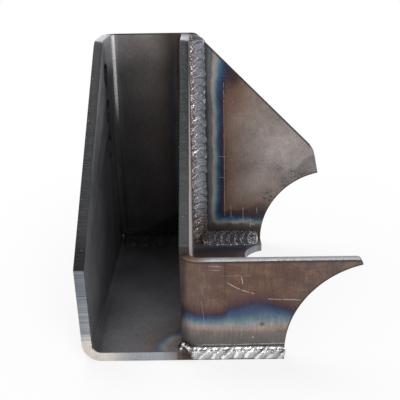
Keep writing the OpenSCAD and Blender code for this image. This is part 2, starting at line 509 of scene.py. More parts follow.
# Spots on the gusset and the flange, as place and radius in millimetres along x and z
GUSSET_SMUDGES = (
    (50.0, 47.5, 7.0),
    (44.0, 43.0, 6.0),
    (33.0, 34.0, 6.0),
    (40.0, 52.0, 4.0),
    (27.0, 22.0, 6.0),
)
GUSSET_TIP = (61.0, 49.0, 15.0)
GUSSET_SCORCH = (29.0, 23.0, 9.0)
FLANGE_STAIN = (18.8, 19.0, 1.7)
# Deeper brown beside the top of the scribed line
GUSSET_BROWN = (12.0, 101.0, 19.0)
# Reach of the tack's heat over the floor, in millimetres
TACK_WARMTH = 30.0
# Height of the thin ridge over the flange's bead, in millimetres
MELT_HEIGHT = 8.2

# Colours of the mill scale, and of the light and shade painted on it
GAP_SHEEN = tone(182, 180, 188)
GAP_SHADE = tone(22, 20, 20)
LIT_SCALE = tone(196, 195, 201)
OUTER_WALL_LIT = tone(228, 219, 216)
BEND_COPPER = tone(122, 102, 92)
RIGHT_COPPER = tone(106, 87, 82)
TIP_COPPER = tone(122, 106, 100)
RED_COPPER = tone(98, 72, 68)
YELLOW_COPPER = tone(134, 108, 84)
SCRIBE_BROWN = tone(103, 72, 58)
SINGED_BROWN = tone(76, 48, 40)
CORNER_SHADE = tone(50, 50, 53)
SCORCH_BROWN = tone(62, 46, 39)
SCORCH_GREY = tone(50, 44, 48)
BARE_STEEL_AND_SHINE = tone(240, 238, 237)
DULL_STEEL = tone(206, 204, 204)
DIE_LINE = tone(48, 40, 42)
RIM_LINE = tone(48, 44, 43)
MELT_SHADE = tone(40, 36, 36)


class PlateFace:
    """A point of a plate's rolled faces: its place, 1 in each region it lies in, and its noise."""

    def __init__(self, board):
        self.board = board
        self.place = place_in_mm(board)
        x, y, z = self.place.parts()
        self.x = x
        self.y = y
        self.z = z
        self.heat = heat_distance(board, self.place)
        self.slope = from_slope(x, z)
        self.from_tube = off_point(x, z, TUBE_X, TUBE_Z) - TUBE_R

        self.on_back = y.step(BACK_MM - 6.0, BACK_MM - 1.0)
        self.in_gap = x.step(WALL_INNER_MM + 0.6, WALL_INNER_MM) * y.step(BACK_MM + 2.0, BACK_MM + 1.0)
        self.gap_back = self.on_back * self.in_gap
        self.on_gusset = self.on_back * (1.0 - self.in_gap)
        self.outer_wall = abs(x - WALL_MM).step(0.8, 0.3)
        self.left_face = abs(x - LEFT_MM).step(1.0, 0.3)
        self.on_floor = z.step(FLOOR_MM + 0.6, FLOOR_MM + 0.2)
        low_front = y.step(FLANGE_MM + 7.0, FLANGE_MM + 3.0) * z.step(FLOOR_MM, FLOOR_MM + 3.0)
        self.on_flange = low_front * x.step(WALL_INNER_MM - 2.0, WALL_INNER_MM)
        self.flange_front = y.step(FLANGE_MM + 0.6, FLANGE_MM + 0.2)
        self.gusset_front = abs(y - BACK_MM).step(0.6, 0.2)
        left_side = x.step(LEFT_MM - 3.0, LEFT_MM - 4.0)
        back_side = y.step(BACK_MM + 3.0, BACK_MM + 4.0)
        self.outside = most_of([left_side, back_side, z.step(1.0, 0.5)])

        self.clouds = board.noise(self.place, 0.05, 4.0, 0.6).step(0.3, 0.7)
        self.patches = board.noise(self.place, 0.16, 5.0, 0.65).step(0.28, 0.72)
        self.grit = board.noise(self.place, 1.0, 5.0, 0.7).step(0.2, 0.8)
        rolling = board.vector(x * 1.6, y * 1.6, z * 0.12)
        self.rolled = board.noise(rolling, 1.0, 3.0, 0.6).step(0.25, 0.75)
        self.broken = board.noise(self.place, 0.9, 3.0, 0.6).step(0.33, 0.47)
        self.wobble = (board.noise(self.place, 0.4) - 0.5) * 0.5


def corner_in_shade(face):
    """1 where the gap's floor meets the back plate, which no light reaches, and 0 elsewhere: where shade
    is painted.
    """
    x, y, z = face.x, face.y, face.z
    inside = x.step(WALL_INNER_MM + 0.6, WALL_INNER_MM) * x.step(LEFT_MM - 1.0, LEFT_MM - 0.5)
    return inside * y.step(46.0, 60.0) * y.step(BACK_MM + 2.0, BACK_MM + 1.0) * z.step(32.0, 10.0)


def bend_shine(face):
    """A bright line along the inside of the main plate's two bends: partly scale cracked off, partly a
    painted highlight, brightest near the upright bend's top.
    """
    board, x, y, z = face.board, face.x, face.y, face.z
    flakes = board.noise(board.vector(x, y, z * 0.8), 2.0, 3.0, 0.7).step(0.32, 0.5)
    beside_left = x.step(LEFT_MM + 4.0, LEFT_MM + 3.0)
    off_left = x - LEFT_MM - BEND_MM
    upright = abs(off_left + (y - BACK_MM + BEND_MM)).step(2.2, 1.0)
    upright = upright * beside_left * y.step(BACK_MM - 4.0, BACK_MM - 3.0)
    # Painted highlight: the upright bend shines most near its top and fades downwards
    upright = upright * (0.05 + z.step(80.0, 106.0) * 0.95)
    low = abs(off_left - (z - FLOOR_MM - BEND_MM)).step(1.3, 0.4)
    low = low * beside_left * z.step(FLOOR_MM + 4.0, FLOOR_MM + 3.0) * 0.06
    return upright.most(low) * flakes


def bare_scale(face, looks):
    """Mill scale that no weld has heated, warm on the back and the right wall, with painted shade and
    sheen in the gap and painted light on the walls.
    """
    x, y, z, mixed = face.x, face.y, face.z, face.board.mixed
    colour = mixed(face.on_back.most(face.outer_wall), looks.cool_scale, looks.warm_scale)
    # Painted sheen on the gap's back plate towards the left wall
    colour = mixed(face.gap_back * x.step(-46.0, -56.0) * 0.8, colour, GAP_SHEEN)
    # Painted shade: the back plate in the gap is darker towards its foot and towards the right wall
    dim = 0.6 + z.step(135.0, 112.0) * 0.275 + z.step(112.0, 80.0) * 0.06
    dim = dim + x.step(-36.0, -22.0) * (0.98 - dim) * 0.95
    colour = mixed(face.gap_back * dim, colour, GAP_SHADE)
    # Painted light: the left wall's inner face is lighter towards its top and its front
    lit = y.step(37.0, 27.0).most(z.step(112.0, 124.0) * 0.85) * (0.25 + z.step(72.0, 116.0) * 0.7)
    colour = mixed(lit * face.left_face, colour, LIT_SCALE)
    # Painted light on the right wall's outer face
    return mixed(face.outer_wall * 0.7, colour, OUTER_WALL_LIT)


def copper_scale(face, looks):
    """The flange's coppery scale, which changes from the bend to the tip."""
    x, mixed = face.x, face.board.mixed
    colour = mixed(x.step(2.0, -8.0) * 0.7, looks.copper, BEND_COPPER)
    colour = mixed(x.step(22.0, 40.0) * 0.8, colour, RIGHT_COPPER)
    colour = mixed(x.step(40.0, 56.0) * 0.7, colour, TIP_COPPER)
    colour = mixed(face.clouds * 0.5, colour, RED_COPPER)
    return mixed(face.patches.step(0.45, 0.8) * 0.3, colour, YELLOW_COPPER)


def heated(face, scale):
    """Mill scale with the tints that the welds' heat leaves on it, and painted shade in the gap's
    deepest corner.
    """
    board, x, y, z, heat = face.board, face.x, face.y, face.z, face.heat
    tack = tack_centre()
    near_tack = smudge(x, y, tack.x, tack.y, TACK_WARMTH) * face.on_floor
    shut_out = (face.in_gap * 0.92).most(face.on_floor * 0.45) * (1.0 - near_tack * 0.45)
    warmed = heat.step(58.0, 24.0) * (1.0 - face.on_gusset)
    warmed = warmed.most(heat.step(74.0, 54.0) * face.on_gusset)
    share = warmed * (1.0 - shut_out) * (1.0 - face.on_flange * heat.step(22.0, 27.0))
    tints = board.mixed(face.on_back, tinted(board, heat, TINTS), tinted(board, heat, GUSSET_TINTS))
    colour = board.mixed(share, scale, tints)

    browned = smudge(x, z, *GUSSET_BROWN) * face.on_gusset * x.step(SCRIBE_X, SCRIBE_X + 2.0)
    colour = board.mixed(browned * face.slope.step(2.0, 12.0) * 0.6, colour, SCRIBE_BROWN)
    singed = face.gap_back * x.step(-38.0, -22.0) * z.step(112.0, 130.0)
    colour = board.mixed(singed * 0.4, colour, SINGED_BROWN)
    # Painted shade where the gap's floor meets the back plate
    return board.mixed(corner_in_shade(face) * 0.75, colour, CORNER_SHADE)


def weathered(face, colour):
    """Light and dark of the scale: clouds, pits, smudges and scorching, and painted shade on the left
    wall's inner face.
    """
    board, x, y, z = face.board, face.x, face.y, face.z
    cloudy = 0.3 - face.on_flange * 0.15
    patchy = 0.16 + face.outside * 0.12 + face.on_flange * 0.12
    level = 0.8 + (face.clouds - 0.5) * cloudy + (face.patches - 0.5) * patchy
    level = level + (face.grit - 0.4) * 0.36 + (face.rolled - 0.5) * (0.06 + face.on_flange * 0.2)

    pits = board.noise(face.place, 0.95, 4.0, 0.7).step(0.5, 0.58)
    near_rim = face.from_tube.step(10.0, 0.0).most(face.slope.step(9.0, 0.0) * 0.5)
    pitted = near_rim * face.on_back * z.step(18.0, 30.0) * pits
    smudges = most_of([smudge(x, z, *spot) for spot in GUSSET_SMUDGES])
    smudges = smudges * face.on_back * (0.12 + pits * 0.5)
    tip = (smudge(x, z, *GUSSET_TIP) + (face.patches - 0.5) * 0.5).step(0.36, 0.5) * face.on_back
    stain = smudge(x, z, *FLANGE_STAIN) * face.on_flange
    # Painted shade: the left wall's inner face is darker further back and lower down, away from the
    # light
    left_wall_shade = (y - (z - 30.0) * 0.45).step(-38.0, 2.0) * y.step(42.0, 33.0) * face.left_face
    for darkened in (pitted * 0.5, smudges, tip * 0.38, stain * 0.6, left_wall_shade * 0.5):
        level = level * (1.0 - darkened)
    colour = board.shaded(colour, level)

    scorched = (z + face.patches * 4.0).step(20.5, 13.0) * x.step(WALL_MM + 8.0, WALL_MM + 14.0)
    colour = board.mixed(scorched * face.on_gusset * 0.8, colour, SCORCH_BROWN)
    sooty = smudge(x, z, *GUSSET_SCORCH) * face.on_back * (0.35 + face.grit * 0.6)
    return board.mixed(sooty, colour, SCORCH_GREY)


def scratch(face, start, end, width):
    """A thin straight scratch between two points of a face."""
    run = Vector(end) - Vector(start)
    along_x, along_z = run.normalized()
    across = face.x * along_z - face.z * along_x - (start[0] * along_z - start[1] * along_x)
    along = face.x * along_x + face.z * along_z - (start[0] * along_x + start[1] * along_z)
    half = run.length / 2
    line = abs(across + face.wobble).step(width, width * 0.35)
    return line * abs(along - half).step(half, half - 0.8)


def scratched(face):
    """The scratches on the front of the flange and the gusset, broken here and there."""
    flange = most_of([scratch(face, *mark) for mark in FLANGE_SCRATCHES])
    gusset = most_of([scratch(face, *mark) for mark in GUSSET_SCRATCHES])
    return (flange * face.flange_front * 1.6 + gusset * face.gusset_front) * face.broken


def worn(face, colour, scratches):
    """Bare steel at the scratches, specks, scuffs and cracked bends, and the painted highlight along the
    bends.
    """
    board, x, y, z = face.board, face.x, face.y, face.z
    specks = board.noise(face.place, 1.7).step(0.72, 0.76) * 0.5
    specks = specks * (1.0 - face.in_gap) * (1.0 - face.on_flange * 0.8)
    stretch_x = 0.9 - face.on_back * 0.88
    stretch_y = 0.02 + face.on_back * 0.88
    streaks = board.noise(board.vector(x * stretch_x, y * stretch_y, z * 0.9), 1.0, 3.0, 0.6)
    scuffs = streaks.step(0.55, 0.75) * face.patches * face.outside * 0.1
    bare_and_shine = most_of([scratches * 0.5, specks, scuffs, bend_shine(face)])
    return board.mixed(bare_and_shine, colour, BARE_STEEL_AND_SHINE)


def lined(face, colour):
    """Lines of the die, along the rims, and over the flange's bead, with painted shadow and highlight at
    its melted ridge.
    """
    board, x, z = face.board, face.x, face.z
    die_mark = abs(x - DIE_MARK_X).step(0.8, 0.2) * face.flange_front
    die_mark = die_mark * (0.55 * z.step(24.0, 31.0) + z.step(43.0, 47.0) * 0.45)
    colour = board.mixed(die_mark * face.grit, colour, DIE_LINE)

    saddle_rim = face.from_tube.step(1.1, 0.6) * face.gusset_front.most(face.flange_front)
    slope_rim = face.slope.step(1.2, 0.6) * face.gusset_front
    top_rim = z.step(FLANGE_TOP_MM - 1.4, FLANGE_TOP_MM - 0.5) * face.on_flange
    rims = most_of([slope_rim, saddle_rim, top_rim])
    colour = board.mixed(rims * z.step(12.0, 18.0) * 0.65, colour, RIM_LINE)

    # Over the flange's bead the plate has melted into a thin ridge, drawn as a pale line, partly bare
    # steel and partly painted highlight, with a painted shadow below it
    ridge = z - MELT_HEIGHT - x.step(4.0, 30.0) * 0.4 - face.wobble * 0.8
    melted = face.flange_front * x.step(WALL_MM, WALL_MM + 8.0)
    dip = 0.75 + (board.noise(face.place, 0.3) - 0.5) * 1.4
    colour = board.mixed((ridge + dip).is_near(0.0, 0.32) * melted * 0.7, colour, MELT_SHADE)
    return board.mixed(abs(ridge).step(0.45, 0.1) * melted * face.broken * 0.4, colour, DULL_STEEL)


def scale_material(looks):
    """Hot rolled plate: mill scale, heat tint, die marks and scratches."""
    material, board = new_material("mill_scale")
    face = PlateFace(board)
    scratches = scratched(face)
    scale = board.mixed(face.on_flange, bare_scale(face, looks), copper_scale(face, looks))
    colour = weathered(face, heated(face, scale))
    colour = lined(face, worn(face, colour, scratches))
    roughness = 0.36 + face.grit * 0.12 + face.patches * 0.1
    height = face.grit * 0.5 + face.patches * 0.6 - scratches * 0.8 + face.rolled * 0.25
    finish_shader(board, colour, 0.55, roughness, height, 0.12 * MM)
    return material


BOLT_BORES = [m for m in frame["record"]["mounts"] if m["kind"] == "bore"]
WALL_MIDDLE_MM = (WALL_MM + WALL_INNER_MM) / 2

# Colours of the cut edges, and of the light and shade painted on them
HIGH_EDGE = tone(126, 130, 138)
FLOOR_EDGE = tone(186, 189, 196)
CREAM_EDGE = tone(238, 231, 224)
UPWARD_EDGE = tone(198, 199, 203)
FLANGE_RIM_FRONT = tone(222, 219, 221)
FLANGE_RIM_REAR = tone(176, 177, 182)
FLANGE_RIM_SHADE = tone(56, 51, 51)
FOLD_COPPER = tone(156, 130, 110)
LOWER_TAPER_GREY = tone(92, 92, 95)
TIP_BROWN = tone(72, 63, 59)
EDGE_IN_SHADE = tone(26, 26, 28)
BURNT_EDGE = tone(64, 50, 44)
WARMED_EDGE = tone(118, 98, 88)


def bore_wall(y, z, mount):
    """1 on the wall of a bolt hole, and 0 away from it."""
    _, bore_y, bore_z = (value / MM for value in mount["pos_m"])
    radius = mount["dims"]["r_mm"]
    return off_point(y, z, bore_y, bore_z).step(radius + 0.6, radius + 0.2)


class CutFace:
    """A point of a plate's cut edges: its place, the way it faces and 1 in each region it lies in."""

    def __init__(self, board):
        self.board = board
        self.place = place_in_mm(board)
        x, y, z = self.place.parts()
        self.x = x
        self.y = y
        self.z = z
        self.heat = heat_distance(board, self.place)
        self.normal_x, normal_y, self.normal_z = board.add("ShaderNodeTexCoord", out="Normal").parts()
        self.not_rear = normal_y.step(0.5, 0.2)

        self.front = y.step(FLANGE_MM + 4.0, FLANGE_MM)
        self.floor_edge = self.front * z.step(FLOOR_MM + 2.0, FLOOR_MM)
        self.taper = (self.normal_z * normal_y * -1.0).step(0.12, 0.38)
        above_floor = z.step(FLOOR_MM + 0.2, FLOOR_MM + 0.6)
        self.on_back = y.step(BACK_MM - 0.6, BACK_MM - 0.1) * above_floor * self.not_rear
        self.on_wall = abs(x - WALL_MIDDLE_MM).step(FLOOR_MM, FLOOR_MM * 0.7)
        self.wall_tip = self.on_wall * z.step(60.0, 54.0)
        facing_up = self.normal_z.step(0.1, 0.25)
        self.nose_tip = x.step(LEFT_MM + 1.0, LEFT_MM) * z.step(64.0, 51.0) * facing_up
        on_fold = x.step(WALL_MM + 10.0, WALL_MM + 3.0) * y.step(FLANGE_MM + 14.0, FLANGE_MM + 11.0)
        self.fold_top = self.normal_z.step(0.85, 0.95) * on_fold
        flange_top = abs(z - FLANGE_TOP_MM).step(0.7, 0.6) * y.step(FLANGE_MM + 6.0, FLANGE_MM + 5.0)
        self.flange_top = flange_top * x.step(WALL_INNER_MM - 2.0, WALL_INNER_MM)
        self.bores = most_of([bore_wall(y, z, mount) for mount in BOLT_BORES]) * y.step(15.0, 20.0)

        # Drag lines run straight through the plate's thickness
        thick = board.add("ShaderNodeAttribute", {"attribute_name": "thick_axis"}, out="Vector")
        drag = board.noise(self.place - self.place * thick, 2.4, 2.0, 0.55)
        self.lines = drag.step(0.25, 0.75)
        self.grit = board.noise(self.place, 0.9, 4.0, 0.6)


def bright_edges(face, looks):
    """Cut steel with painted light by the way it faces: paler near the floor and on top, darker high on
    the front and just under the flange's top; coppery over the fold.
    """
    board, x, y, z = face.board, face.x, face.y, face.z
    cream = face.front * z.step(17.0, 9.0) * x.step(LEFT_MM + 20.0, LEFT_MM + 5.0)
    # Painted light: front edges are darker higher up, and paler near the floor and towards the left bend
    colour = board.mixed(face.front * z.step(20.0, 40.0), looks.cut_lit, HIGH_EDGE)
    colour = board.mixed(face.floor_edge * 0.6, colour, FLOOR_EDGE)
    colour = board.mixed(cream, colour, CREAM_EDGE)
    # Painted light on edges that face up
    colour = board.mixed(face.normal_z.step(0.8, 0.97), colour, UPWARD_EDGE)
    # The flange's top: a painted highlight along its front, and painted shade just under it
    to_rear = y.step(FLANGE_MM + 1.2, FLANGE_MM + 4.0)
    flange_rim = board.mixed(to_rear, FLANGE_RIM_FRONT, FLANGE_RIM_REAR)
    colour = board.mixed(face.flange_top, colour, flange_rim)
    under_rim = face.flange_top * z.step(FLANGE_TOP_MM - 0.12, FLANGE_TOP_MM - 0.3)
    colour = board.mixed(under_rim * 0.85, colour, FLANGE_RIM_SHADE)
    return board.mixed(face.fold_top, colour, FOLD_COPPER)


def dark_edges(face, colour, looks):
    """Painted shade on the edges along the taper, in the bores, on the inner rims, the tips and the back
    plate's edges and in the gap's corner; heat tint beside the welds.
    """
    board, x, z = face.board, face.x, face.z
    off_fold = 1.0 - face.fold_top
    upper_rim = face.normal_x.step(0.3, 0.6) * z.step(8.0, 12.0)
    lower_rim = face.normal_z.step(0.3, 0.6) * z.step(9.0, 6.0)
    inner_rim = (upper_rim + lower_rim) * face.front * x.step(WALL_INNER_MM, WALL_INNER_MM - 4.0)
    # Painted shade: these edges get the shaded copy of the cut steel
    dark = [face.taper, face.on_back, face.wall_tip, face.nose_tip, face.bores, inner_rim]
    colour = board.mixed(most_of(dark) * off_fold, colour, looks.cut_shaded)
    # The right wall's taper is lighter towards its foot
    lower_taper = face.on_wall * face.taper * z.step(115.0, 62.0)
    colour = board.mixed(lower_taper * 0.5, colour, LOWER_TAPER_GREY)
    colour = board.mixed(face.wall_tip * off_fold * 0.7, colour, TIP_BROWN)
    wall_rim = abs(face.normal_x).step(0.25, 0.5) * face.on_wall
    wall_rim = wall_rim * z.step(54.0, 58.0) * z.step(126.0, 120.0) * 0.9
    in_corner = corner_in_shade(face) * face.not_rear
    # Painted shade, near black, in the bores and the gap's corner and along these tips and rims
    edge_shade = most_of([face.bores, face.nose_tip, face.on_back * 0.5, in_corner, wall_rim])
    colour = board.mixed(edge_shade, colour, EDGE_IN_SHADE)
    burnt = board.mixed(face.heat.step(2.0, 9.0), BURNT_EDGE, WARMED_EDGE)
    return board.mixed(face.heat.step(18.0, 5.0) * 0.8 * off_fold, colour, burnt)


def cut_material(looks):
    """Cut edges of the plate, with the drag lines of the cut across them."""
    material, board = new_material("cut_edge")
    face = CutFace(board)
    colour = dark_edges(face, bright_edges(face, looks), looks)
    smooth = most_of([face.taper, face.floor_edge, face.flange_top]) * 0.75
    level = 0.82 + (face.grit - 0.5) * 0.3 + (face.lines - 0.5) * 0.6 * (1.0 - smooth)
    colour = board.shaded(colour, level)
    specks = board.noise(face.place, 1.3).step(0.71, 0.75) * (1.0 - face.bores)
    colour = board.mixed(specks * 0.5, colour, DULL_STEEL)
    roughness = 0.36 + face.grit * 0.16 + face.on_back * 0.4
    finish_shader(board, colour, 0.6, roughness, face.lines * 1.2 + face.grit * 0.4, 0.16 * MM)
    return material


# Colours of the weld metal, and of the light and shade painted on it
GRAIN_DARK = tone(90, 94, 103)
GRAIN_LIGHT = tone(152, 156, 165)
UPPER_SIDE = tone(172, 175, 182)
MOLTEN_DARK = tone(58, 62, 72)
MOLTEN_LIGHT = tone(138, 144, 157)
LAP_GREY = tone(106, 104, 104)
GROOVE_SHADE = tone(52, 50, 52)
TACK_CRUST = tone(46, 35, 31)
GLINT = tone(252, 252, 254)
UNDERCUT = tone(34, 33, 35)
GAP_BEAD_SHADE = tone(27, 27, 29)
GAP_CROWN_HIGHLIGHT = tone(120, 120, 126)


class WeldFace:
    """A point of the welds: its share of a ripple, its side of the bead and 1 on its own weld."""

    def __init__(self, board):
        self.board = board
        place = place_in_mm(board)
        self.x, y, self.z = place.parts()
        self.share = board.add("ShaderNodeAttribute", {"attribute_name": "share"}, out="Fac")
        self.side = board.add("ShaderNodeAttribute", {"attribute_name": "side"}, out="Fac")
        self.blotches = board.noise(place, 0.3, 4.0, 0.65)
        self.grit = board.noise(place, 1.3, 4.0, 0.65)
        self.grains = board.noise(place, 1.5, 1.0)

        in_front = y.step(FLANGE_MM + 12.0, FLANGE_MM + 4.0)
        self.behind = 1.0 - in_front
        self.fresh = in_front * self.x.step(WALL_MM - 0.5, WALL_MM + 2.5)
        self.tack = in_front * (1.0 - self.fresh)
        self.in_gap = self.x.step(WALL_INNER_MM + 1.0, WALL_INNER_MM) * self.behind
        low_corner = self.z.step(36.0, 15.0) * self.x.step(WALL_MM + 13.0, WALL_MM + 8.0)
        self.low_corner = low_corner * self.behind
        self.molten = self.z.step(13.0, 10.5) * self.x.step(WALL_MM + 9.0, WALL_MM + 14.0) * self.behind
        self.lap = 0.5 - abs(self.share - 0.5)
        self.toe = self.side.step(0.2, 0.7) * self.behind * (1.0 - self.molten)


def weld_shine(face):
    """Bright arcs where ripples lap, facets and rims that catch the light, and grains that glint."""
    x, z, share, side, grit = face.x, face.z, face.share, face.side, face.grit
    fresh, molten, blotches = face.fresh, face.molten, face.blotches
    arcs = face.lap.step(0.12, 0.04) * face.behind * blotches.step(0.22, 0.38)
    arcs = arcs * (0.22 + side.step(-0.4, 0.5) * 0.68).most(molten * 0.65)
    arcs = arcs * (1.0 - face.low_corner * 0.7) * (1.0 - z.step(92.0, 114.0) * 0.5)
    calm_end = x.step(14.0, 32.0)
    facets = share.step(0.06, 0.12) * share.step(0.42, 0.3) * blotches.step(0.4, 0.48)
    facets = facets * (fresh * (1.0 - calm_end * 0.75)).most(molten * grit.step(0.4, 0.6) * 0.7)
    facets = facets.most(molten * x.step(20.0, 25.0) * grit.step(0.45, 0.55) * 0.8)
    rim = abs(side + 0.86).step(0.12, 0.05) * grit.step(0.42, 0.52)
    rim = rim * (0.45 + fresh * 0.55) * (1.0 - face.tack)
    glints = (0.12 + (face.toe + face.low_corner * 0.5).least(1.0) * 0.8) * face.behind
    glints = glints * face.grains.step(0.6, 0.66)
    spark = face.tack * blotches.step(0.56, 0.62) * 0.85
    return most_of([arcs, facets, rim, glints, spark])


def weld_body(face, looks):
    """Grey weld metal, rusty at its toes, with painted shade in its grooves and painted light on one
    side.
    """
    board, share, side, grit = face.board, face.share, face.side, face.grit
    fresh, tack, blotches = face.fresh, face.tack, face.blotches
    colour = board.mixed(grit.step(0.3, 0.7), GRAIN_DARK, GRAIN_LIGHT)
    # Painted light: the bead's side towards its first toe, the upper side of the beads along the floor,
    # is lighter
    colour = board.mixed(side.step(0.2, -0.5) * 0.3, colour, UPPER_SIDE)
    molten = board.mixed(grit.step(0.4, 0.6), MOLTEN_DARK, MOLTEN_LIGHT)
    colour = board.mixed(face.molten, colour, molten)
    ripples = board.mixed(face.lap.step(0.0, 0.22), LAP_GREY, looks.metal)
    colour = board.mixed(fresh, colour, ripples)
    # Painted shade just below each groove, and under the flange bead's rim
    groove = share.step(0.74, 0.88) * share.step(0.99, 0.94) * face.behind
    under_rim = abs(side + 0.66).step(0.13, 0.05) * blotches.step(0.35, 0.5) * fresh
    colour = board.mixed((groove * 0.55).most(under_rim * 0.8), colour, GROOVE_SHADE)
    rusty = [blotches.step(0.5, 0.66) * 0.3, face.low_corner * 0.9, face.toe * 0.75, tack * 0.9]
    colour = board.mixed(most_of(rusty) * (1.0 - fresh), colour, looks.soot)
    return board.mixed(tack * grit.step(0.6, 0.35) * 0.8, colour, TACK_CRUST)


def weld_material(looks):
    """Weld metal: a bright line where one ripple laps the next, with grains that glint."""
    material, board = new_material("weld_bead_metal")
    face = WeldFace(board)
    shine = weld_shine(face)
    colour = board.mixed(shine, weld_body(face, looks), GLINT)
    # The dark line along the first toe: partly a real undercut, partly painted shadow of the bead's edge
    undercut = face.side.step(-0.84, -0.93) * face.behind
    colour = board.mixed(undercut * 0.85, colour, UNDERCUT)
    # Painted shade on the bead in the gap, and a painted highlight along its crown
    colour = board.mixed(face.in_gap * 0.96, colour, GAP_BEAD_SHADE)
    crown = abs(face.side + 0.1).step(0.25, 0.1) * face.grit.step(0.45, 0.6) * face.in_gap
    colour = board.mixed(crown * 0.2, colour, GAP_CROWN_HIGHLIGHT)

    metallic = 0.85 - shine * 0.35 - face.in_gap * 0.4
    roughness = 0.38 - face.molten * 0.2 - shine * 0.12
    relief = face.grit * (0.55 - face.molten * 0.35 - face.fresh * 0.4) + face.blotches * 0.5
    finish_shader(board, colour, metallic, roughness, relief, 0.3 * MM)
    return material


def linked(name, mesh):
    """A new object in the scene."""
    obj = bpy.data.objects.new(name, mesh)
    bpy.context.scene.collection.objects.link(obj)
    return obj


def settled(obj):
    """Puts the mesh that an object's modifiers make in place of the modifiers."""
    depsgraph = bpy.context.evaluated_depsgraph_get()
    shown = obj.evaluated_get(depsgraph)
    mesh = bpy.data.meshes.new_from_object(shown, preserve_all_data_layers=True, depsgraph=depsgraph)
    if not mesh.polygons:
        raise RuntimeError(f"{obj.name} came out empty")
    obj.modifiers.clear()
    obj.data = mesh
    mesh.name = obj.name
    return mesh


def carried(piece, slot, *nodes):
    """Fixes a finished piece to the bracket, in place of CAD nodes if any are named."""
    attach(piece, BODY)
    if nodes:
        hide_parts(*nodes)


def require_closed(mesh):
    """Turns a shell's faces outwards, and stops if the shell is open."""
    shell = bmesh.new()
    shell.from_mesh(mesh)
    if not all(edge.is_manifold for edge in shell.edges):
        raise RuntimeError(f"{mesh.name} isn't closed")
    bmesh.ops.recalc_face_normals(shell, faces=shell.faces)
    shell.to_mesh(mesh)
    shell.free()


# Faces as rolled, as axis and place, and the plates' bends, as axis and centre
ROLLED_PLANES = {
    "main_plate": (
        (X, MAIN_LOW.x),
        (X, LEFT_FACE),
        (Y, BACK_FACE),
        (Y, MAIN_HIGH.y),
        (Z, 0.0),
        (Z, PLATE),
    ),
    "side_plate": ((X, WALL_INNER), (X, WALL_OUTER), (Y, FLANGE_FRONT), (Y, FLANGE_REAR)),
}
BENDS = {
    "main_plate": (
        (Y, Vector((LEFT_FACE + BEND_R, 0.0, PLATE + BEND_R))),
        (Z, Vector((LEFT_FACE + BEND_R, BACK_FACE - BEND_R, 0.0))),
    ),
    "side_plate": ((Z, Vector((WALL_OUTER + BEND_R, FLANGE_REAR + BEND_R, 0.0))),),
}
# Places in a plate's list of materials
ROLLED_FACE = 0
CUT_FACE = 1
# How far a face's centre may lie off a plane or a bend's skin and still be part of it
PLANE_SLACK = 0.02 * MM
BEND_SLACK = 0.12 * MM
# Points this close are one, and faces this flat are one
WELD_DISTANCE = 1e-6
FLAT_ANGLE = math.radians(0.3)
# Edges sharper than this are broken
SHARP_ANGLE = math.radians(32)


def is_rolled(node, centre, normal):
    """Whether a face of a plate is as rolled, and not cut."""
    if node == "main_plate" and centre.z < PLATE and abs(normal.y) > 0.9:
        # The floor's front and rear edges
        return False
    for axis, place in ROLLED_PLANES[node]:
        if abs(normal[axis]) > 0.99 and abs(centre[axis] - place) < PLANE_SLACK:
            return True
    for axis, middle in BENDS[node]:
        spoke = centre - middle
        spoke[axis] = 0.0
        off_skin = min(abs(spoke.length - BEND_R), abs(spoke.length - BEND_R - PLATE))
        if abs(normal[axis]) < 0.1 and off_skin < BEND_SLACK:
            return True
    return False


def thickness_axis(node, centre):
    """The axis that the plate's thickness lies along near a point."""
    if node == "main_plate" and centre.z < PLATE + 0.1 * MM:
        return (0.0, 0.0, 1.0)
    on_back = node == "main_plate" and centre.y > BACK_FACE - 0.5 * MM
    on_flange = node == "side_plate" and centre.y < FLANGE_REAR + 0.5 * MM
    return (0.0, 1.0, 0.0) if on_back or on_flange else (1.0, 0.0, 0.0)


def dressed_plate(name, node, looks, materials):
    """A copy of a CAD plate with broken edges, its cut faces told from its rolled ones."""
    shell = bmesh.new()
    shell.from_mesh(frame["nodes"][node].data)
    bmesh.ops.remove_doubles(shell, verts=shell.verts, dist=WELD_DISTANCE)
    bmesh.ops.dissolve_limit(shell, angle_limit=FLAT_ANGLE, verts=shell.verts, edges=shell.edges)
    shell.normal_update()
    for face in shell.faces:
        rolled = is_rolled(node, face.calc_center_median(), face.normal)
        face.material_index = ROLLED_FACE if rolled else CUT_FACE
        face.smooth = True
    mesh = bpy.data.meshes.new(name)
    shell.to_mesh(mesh)
    shell.free()
    for material in materials:
        mesh.materials.append(material)

    plate = linked(name, mesh)
    broken = plate.modifiers.new("broken_edges", "BEVEL")
    broken.width = looks.edge_round
    broken.segments = 2
    broken.limit_method = "ANGLE"
    broken.angle_limit = SHARP_ANGLE
    broken.harden_normals = True
    broken.material = CUT_FACE
    mesh = settled(plate)

    thick = mesh.attributes.new("thick_axis", "FLOAT_VECTOR", "FACE")
    for polygon in mesh.polygons:
        thick.data[polygon.index].vector = thickness_axis(node, polygon.center)
    carried(plate, PLATE_SLOT, node)


class BRACKET_OT_plates(bpy.types.Operator):
    """Dress the two folded plates"""

    bl_idname = "bracket.plates"
    bl_label = "Folded plates"

    def execute(self, context):
        looks = context.scene.bracket_plates
        materials = (scale_material(looks), cut_material(looks))
        dressed_plate("folded_main_plate", "main_plate", looks, materials)
        dressed_plate("folded_side_plate", "side_plate", looks, materials)
        return {"FINISHED"}


